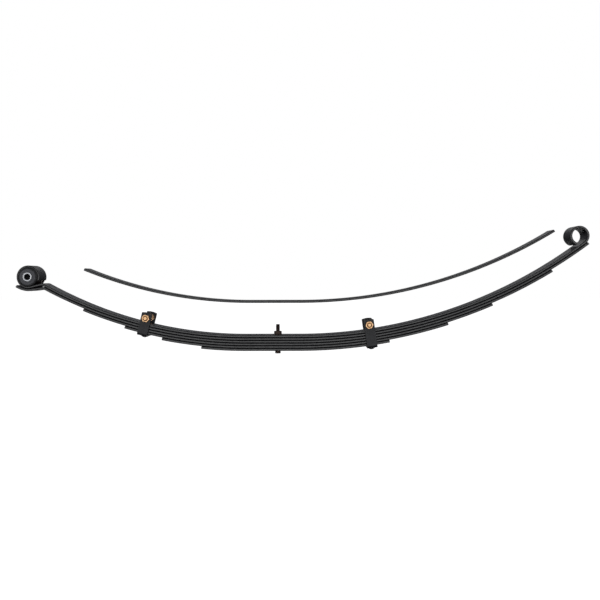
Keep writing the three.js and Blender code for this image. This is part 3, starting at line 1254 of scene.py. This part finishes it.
@dataclass
class ReboundClip:
    """A U-shaped strap riveted under one leaf and closed over the main leaf by a bolt through a spacer."""

    name: str
    side: Side
    half: HalfLeaf
    reach: float
    riveted_leaf: str
    pack: LeafPack
    fasteners: MetricFasteners
    side_gap: float = 1 * MM
    width: float = 26 * MM
    thickness: float = 5.5 * MM
    bolt_height: float = 12.75 * MM
    ear_above_bolt: float = 14.5 * MM
    ear_arch: float = 1.7 * MM
    ear_corner: float = 0.8 * MM
    # Shares of the ear's half width at the slices of its arch
    arch_slices: tuple[float, ...] = (0.9, 0.78, 0.65, 0.5, 0.35, 0.2)
    bend_step: float = math.radians(10)
    edge: float = 0.5 * MM
    hole_edge: float = 0.3 * MM
    bolt_hole: float = 10.6 * MM
    spacer_wall: float = 3.7 * MM
    spacer_edge: float = 0.5 * MM
    rivet_shank: float = 8 * MM
    rivet_hole: float = 8.6 * MM
    rivet_head: float = 18 * MM
    rivet_head_height: float = 5.6 * MM
    rivet_edge: float = 0.4 * MM
    rivet_sides: int = 40
    thread_past_nut: float = 3 * MM
    thread_in_ear: float = 3 * MM
    shank_in_head: float = 1 * MM

    @property
    def depth(self) -> float:
        """How far the riveted leaf's lower face is below the main leaf's upper face."""
        return self.pack.depth(self.riveted_leaf) + self.pack.thickness / 2

    @property
    def inner_width(self) -> float:
        """Between the ears."""
        return self.pack.width + 2 * self.side_gap

    @property
    def outer_width(self) -> float:
        """Over the ears."""
        return self.inner_width + 2 * self.thickness

    def place(self) -> Matrix:
        """Gives the clip's own frame, which stands square on the main leaf's upper face.

        Returns:
            The frame, as seen from the origin.
        """
        slope = self.half.slope(self.reach)
        height = self.pack.height + self.half.radius * (1 - math.cos(slope))
        turn = Matrix.Rotation(-self.side.value * slope, 4, "Y")
        return Matrix.Translation((self.side.value * self.reach, 0, height)) @ turn

    def ear_slices(self) -> list[tuple[float, float]]:
        """Gives height and half width of the slices of an ear's arched top.

        Returns:
            The slices, lowest first.
        """
        top = self.bolt_height + self.ear_above_bolt
        shoulder = top - self.ear_arch
        half = self.width / 2
        inner = half - self.ear_corner
        slices = [
            (
                shoulder - self.ear_corner * (1 - math.sin(math.radians(angle))),
                inner + self.ear_corner * math.cos(math.radians(angle)),
            )
            for angle in (0, 30, 60, 90)
        ]
        radius = (inner**2 + self.ear_arch**2) / (2 * self.ear_arch)
        for share in self.arch_slices:
            out = share * inner
            slices.append((top - radius + math.sqrt(radius**2 - out**2), out))
        return slices

    def raise_ear(self, start_height: float) -> None:
        """Narrows the selected end of the strap slice by slice to an arch.

        Args:
            start_height: Where the end is now.
        """
        height, half = start_height, self.width / 2
        for next_height, next_half in self.ear_slices():
            extrude((0, 0, next_height - height))
            bpy.ops.transform.resize(value=(1, next_half / half, 1), center_override=(0, 0, 0))
            height, half = next_height, next_half

    def strap(self) -> Piece:
        """Bends, crops and drills the strap.

        Returns:
            The strap in the clip's own frame.
        """
        middle = -self.depth - self.pack.fit_gap - self.thickness / 2
        bend = self.side_gap
        moves = [
            Straight(self.inner_width / 2 - bend),
            Bend(bend + self.thickness / 2, math.radians(90), self.bend_step),
        ]
        stock = FlatBar(self.width, self.thickness)
        strap = stock.cross_section(f"{self.name}_strap_bent", middle)
        ear_foot = middle + self.thickness / 2 + bend
        with edit_mode(strap):
            Tip(Side.REAR, middle).run(moves)
            self.raise_ear(ear_foot)
            pick_faces(strap, at_middle)
            Tip(Side.FRONT, middle).run(moves)
            self.raise_ear(ear_foot)
            face_outwards()
        settle(strap, Matrix.Rotation(math.radians(90), 4, "Z"))
        break_edges(strap, self.edge, 3)
        reach = self.outer_width / 2
        bolt_axis = Matrix.Translation((0, 0, self.bolt_height)) @ CROSSWISE
        drill(strap, self.bolt_hole, -reach, reach, bolt_axis, self.hole_edge)
        low = middle - self.thickness / 2
        drill(strap, self.rivet_hole, low, low + self.thickness, Matrix.Identity(4), self.hole_edge)
        return strap

    def rivet(self) -> Piece:
        """Makes the rivet, its domed head below the strap.

        Returns:
            The rivet in the clip's own frame.
        """
        gap = self.pack.fit_gap
        head_top = -self.depth - self.thickness - 2 * gap
        shank_top = -self.depth + self.pack.thickness - gap
        dome = [
            (
                self.rivet_head / 2 * math.sin(math.radians(angle)),
                head_top - self.rivet_head_height * math.cos(math.radians(angle)),
            )
            for angle in range(6, 91, 6)
        ]
        shank, edge = self.rivet_shank / 2, self.rivet_edge
        rings = [*dome, (shank, head_top), (shank, shank_top - edge), (shank - edge, shank_top)]
        return turned(f"{self.name}_rivet_domed", rings, self.rivet_sides)

    def bolt(self) -> Piece:
        """Makes the hexagon-headed bolt, its head on the far ear.

        Returns:
            The bolt along its own axis.
        """
        makes = self.fasteners
        seat = self.outer_width / 2 + self.pack.fit_gap
        end = -seat - makes.nut_height - self.thread_past_nut
        thread_end = -seat + self.thread_in_ear
        bolt = makes.hexagon(f"{self.name}_bolt_threaded", seat, seat + makes.head_height, chamfer_low=False)
        radius = makes.diameter / 2
        root = radius - makes.thread_depth
        inside = seat + self.shank_in_head
        shank = [(root, thread_end - makes.run_out), (radius, thread_end), (radius, inside)]
        carve(bolt, turned("shank", shank, SMALL_SIDES), Cut.ADD)
        thread = makes.thread(-thread_end, -end)
        settle(thread, Matrix.Rotation(math.radians(180), 4, "X"))
        carve(bolt, thread, Cut.ADD)
        return bolt

    def nut(self) -> Piece:
        """Makes the nut on the near ear.

        Returns:
            The nut along the bolt's axis.
        """
        nut = self.fasteners.nut(f"{self.name}_nut_chamfered")
        low = -self.outer_width / 2 - self.pack.fit_gap - self.fasteners.nut_height
        settle(nut, Matrix.Translation((0, 0, low)))
        return nut

    def spacer(self) -> Piece:
        """Makes the tube on the bolt between the ears.

        Returns:
            The spacer along the bolt's axis.
        """
        half = self.inner_width / 2 - self.pack.fit_gap
        bore = self.bolt_hole / 2
        return tube(f"{self.name}_spacer_tube", bore + self.spacer_wall, bore, half, self.spacer_edge)

    def build(self, shop: PaintShop) -> None:
        """Makes and dresses the clip's five pieces.

        Args:
            shop: The finishes.
        """
        upright = self.place()
        along_bolt = upright @ Matrix.Translation((0, 0, self.bolt_height)) @ CROSSWISE
        for maker, part, place, dress in (
            (self.strap, "strap", upright, shop.clip),
            (self.rivet, "rivet", upright, shop.clip),
            (self.bolt, "bolt", along_bolt, shop.yellow_zinc),
            (self.nut, "nut", along_bolt, shop.yellow_zinc),
            (self.spacer, "spacer", along_bolt, shop.dull_yellow_zinc),
        ):
            piece = maker()
            settle(piece, place)
            hand_over(piece, f"{self.name}_{part}", Body.PACK, dress)


# ---- Bush ----


@dataclass
class FrontBush:
    """The rubber bush in the front eye, bonded between a thin shell and a bright sleeve."""

    pack: LeafPack
    shell_wall: float = 1.5 * MM
    shell_edge: float = 0.3 * MM
    sleeve_diameter: float = 23 * MM
    sleeve_bore: float = 14.6 * MM
    sleeve_edge: float = 0.8 * MM
    flange_overlap: float = 2.5 * MM
    flange_stand_out: float = 5 * MM
    flange_round: float = 3.5 * MM
    sleeve_stand_out: float = 1.5 * MM
    groove_radius: float = 20.2 * MM
    groove_width: float = 1.4 * MM
    groove_depth: float = 0.7 * MM
    # How far from the sleeve and how deep the dish round it is
    dish: tuple[tuple[float, float], ...] = (
        (4.5 * MM, 0.1 * MM), (2.5 * MM, 0.48 * MM), (0.0, 0.8 * MM),
    )

    def place(self) -> Matrix:
        """Gives the bush's frame in the eye, its Z axis towards the far side."""
        low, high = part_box("front_bush_inner_sleeve")
        return Matrix.Translation((low + high) / 2) @ CROSSWISE

    def rubber_face(self) -> list[tuple[float, float]]:
        """Gives the outline of one flange, from the eye's side outwards and in to the sleeve.

        Returns:
            Radius and distance from the middle of the bush.
        """
        outer = self.pack.front_eye_bore / 2 + self.flange_overlap
        waist = self.pack.front_eye_bore / 2 - self.shell_wall - 2 * self.pack.fit_gap
        inner = self.pack.width / 2 + self.pack.fit_gap
        face = self.pack.width / 2 + self.flange_stand_out
        edge = self.flange_round
        rounding = [
            (
                outer - edge * (1 - math.cos(math.radians(angle))),
                face - edge * (1 - math.sin(math.radians(angle))),
            )
            for angle in range(0, 91, 15)
        ]
        half_groove = self.groove_width / 2
        groove = [
            (self.groove_radius + half_groove, face),
            (self.groove_radius + half_groove / 2, face - self.groove_depth),
            (self.groove_radius - half_groove / 2, face - self.groove_depth),
            (self.groove_radius - half_groove, face),
        ]
        bore = self.sleeve_diameter / 2 + self.pack.fit_gap
        dish = [(bore + away, face - deep) for away, deep in self.dish]
        return [(waist, inner), (outer, inner), *rounding, *groove, *dish]

    def rubber(self) -> Piece:
        """Moulds the rubber with its two flanges.

        Returns:
            The rubber, centred on the origin along the Z axis.
        """
        upper = self.rubber_face()
        lower = [(radius, -height) for radius, height in reversed(upper)]
        return turned("front_bush_rubber_moulded", [*lower, *upper], LARGE_SIDES, hollow=True)

    def build(self, shop: PaintShop) -> None:
        """Makes and dresses the bush's three pieces.

        Args:
            shop: The finishes.
        """
        half = self.pack.width / 2
        shell_outer = self.pack.front_eye_bore / 2 - self.pack.fit_gap
        shell_inner = shell_outer - self.shell_wall
        sleeve_half = half + self.flange_stand_out + self.sleeve_stand_out
        sleeve_outer, sleeve_inner = self.sleeve_diameter / 2, self.sleeve_bore / 2
        for piece, part, body, dress in (
            (
                tube("front_bush_shell_tube", shell_outer, shell_inner, half, self.shell_edge),
                "outer_shell", Body.PACK, shop.dark_steel,
            ),
            (self.rubber(), "rubber", Body.PACK, shop.rubber),
            (
                tube("front_bush_sleeve_tube", sleeve_outer, sleeve_inner, sleeve_half, self.sleeve_edge),
                "inner_sleeve", Body.SLEEVE, shop.bright_zinc,
            ),
        ):
            settle(piece, self.place())
            hand_over(piece, f"front_bush_{part}", body, dress)


# ---- Studio ----


@dataclass(frozen=True)
class Softbox:
    """A large soft lamp."""

    name: str
    place: tuple[float, float, float]
    target: tuple[float, float, float]
    width: float
    height: float
    watts: float

    def hang(self) -> None:
        """Hangs the lamp and points it."""
        lamp = bpy.data.lights.new(self.name, "AREA")
        lamp.shape = "RECTANGLE"
        lamp.size = self.width
        lamp.size_y = self.height
        lamp.energy = self.watts
        holder = bpy.data.objects.new(self.name, lamp)
        holder.location = self.place
        way = Vector(self.target) - Vector(self.place)
        holder.rotation_euler = way.to_track_quat("-Z", "Y").to_euler()
        bpy.context.scene.collection.objects.link(holder)


@dataclass
class Studio:
    """A pale room with soft lamps, and the camera."""

    floor_height: float = -0.6
    floor_side: float = 60.0
    lens: float = 54.42
    camera_place: tuple[float, float, float] = (0.0765, -2.3, 0.1825)
    shift: tuple[float, float] = (-0.0133, -0.0367)
    roll: float = math.radians(-0.1)
    lamps: tuple[Softbox, ...] = (
        Softbox("front_softbox", (-0.35, -3.2, -0.2), (-0.35, 0, -0.2), 3.7, 1.3, 33),
        Softbox("right_front_softbox", (2.05, -3.1, 0.5), (0.6, 0, 0.3), 0.8, 0.8, 8),
        Softbox("overhead_softbox", (0.1, -0.9, 2.4), (0.1, 0, 0.1), 4.0, 2.0, 10),
        Softbox("left_side_softbox", (-3.0, 0.4, 0.9), (0.0, 0, 0.2), 2.4, 1.8, 20),
        Softbox("right_side_softbox", (3.0, 0.4, 0.9), (0.0, 0, 0.2), 2.4, 1.8, 20),
        Softbox("back_softbox", (0.1, 2.4, 1.9), (0.1, 0, 0.1), 3.6, 1.2, 14),
        Softbox("low_back_strip", (0.1, 1.1, -0.48), (0.1, 0, 0.1), 3.0, 0.2, 7),
    )

    def floor(self) -> None:
        """Lays a plain pale floor that only the camera sees, so that it doesn't light the spring."""
        bpy.ops.object.select_all(action="DESELECT")
        bpy.ops.mesh.primitive_plane_add(size=self.floor_side, location=(0, 0, self.floor_height))
        floor = name_new("studio_floor")
        made = bpy.data.materials.new("pale_floor")
        made.use_nodes = True
        made.node_tree.nodes.clear()
        shader = add_node(made.node_tree, "ShaderNodeBsdfPrincipled", {
            "Base Color": linear("f4f4f4"), "Roughness": 0.9,
            "Emission Color": linear("ffffff"), "Emission Strength": 1.0,
        })
        add_node(made.node_tree, "ShaderNodeOutputMaterial", {"Surface": shader.outputs["BSDF"]})
        floor.data.materials.append(made)
        floor.visible_diffuse = False
        floor.visible_glossy = False

    def walls(self) -> None:
        """Makes the room around: white to the camera, dim and darker below to the spring."""
        world = bpy.data.worlds.new("studio_room")
        world.use_nodes = True
        tree = world.node_tree
        tree.nodes.clear()
        way = add_node(tree, "ShaderNodeTexCoord").outputs["Generated"]
        up = add_node(tree, "ShaderNodeSeparateXYZ", {"Vector": way}).outputs["Z"]
        level = add_node(tree, "ShaderNodeMapRange", {
            "Value": up, "From Min": -0.25, "From Max": 0.1, "To Max": 0.1,
        }).outputs["Result"]
        dim = add_node(tree, "ShaderNodeBackground", {"Color": linear("f4f6ff"), "Strength": level})
        white = add_node(tree, "ShaderNodeBackground", {"Color": linear("ffffff"), "Strength": 1.0})
        seen = add_node(tree, "ShaderNodeLightPath").outputs["Is Camera Ray"]
        both = add_node(tree, "ShaderNodeMixShader", {
            0: seen, 1: dim.outputs["Background"], 2: white.outputs["Background"],
        })
        add_node(tree, "ShaderNodeOutputWorld", {"Surface": both.outputs["Shader"]})
        bpy.context.scene.world = world

    def camera(self) -> None:
        """Sets up the camera in front of the spring."""
        lens = bpy.data.cameras.new("camera")
        lens.lens = self.lens
        lens.shift_x, lens.shift_y = self.shift
        lens.clip_end = 200
        holder = bpy.data.objects.new("camera", lens)
        turn = Matrix.Rotation(math.radians(90), 4, "X") @ Matrix.Rotation(self.roll, 4, "Z")
        holder.matrix_world = Matrix.Translation(self.camera_place) @ turn
        bpy.context.scene.collection.objects.link(holder)
        bpy.context.scene.camera = holder
        bpy.context.scene.view_settings.view_transform = "Standard"

    def build(self) -> None:
        """Sets up the floor, the room, the lamps and the camera."""
        self.floor()
        self.walls()
        for lamp in self.lamps:
            lamp.hang()
        self.camera()


def main() -> None:
    """Builds the spring's looks around its CAD model, and the studio round it."""
    logging.basicConfig(level=logging.INFO, format="%(message)s")
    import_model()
    shop = PaintShop()
    pack = LeafPack()
    fasteners = MetricFasteners()
    clips = [
        ReboundClip(
            name="front_clip", side=Side.FRONT, half=pack.front, reach=331 * MM,
            riveted_leaf="fourth_leaf", pack=pack, fasteners=fasteners,
        ),
        ReboundClip(
            name="rear_clip", side=Side.REAR, half=pack.rear, reach=231 * MM,
            riveted_leaf="sixth_leaf", pack=pack, fasteners=fasteners,
        ),
    ]
    pack.build(shop, clips)
    AddOnLeaf(pack).build(shop)
    CentreBolt(pack, fasteners).build(shop)
    for clip in clips:
        clip.build(shop)
    FrontBush(pack).build(shop)
    Studio().build()


if __name__ == "__main__":
    main()
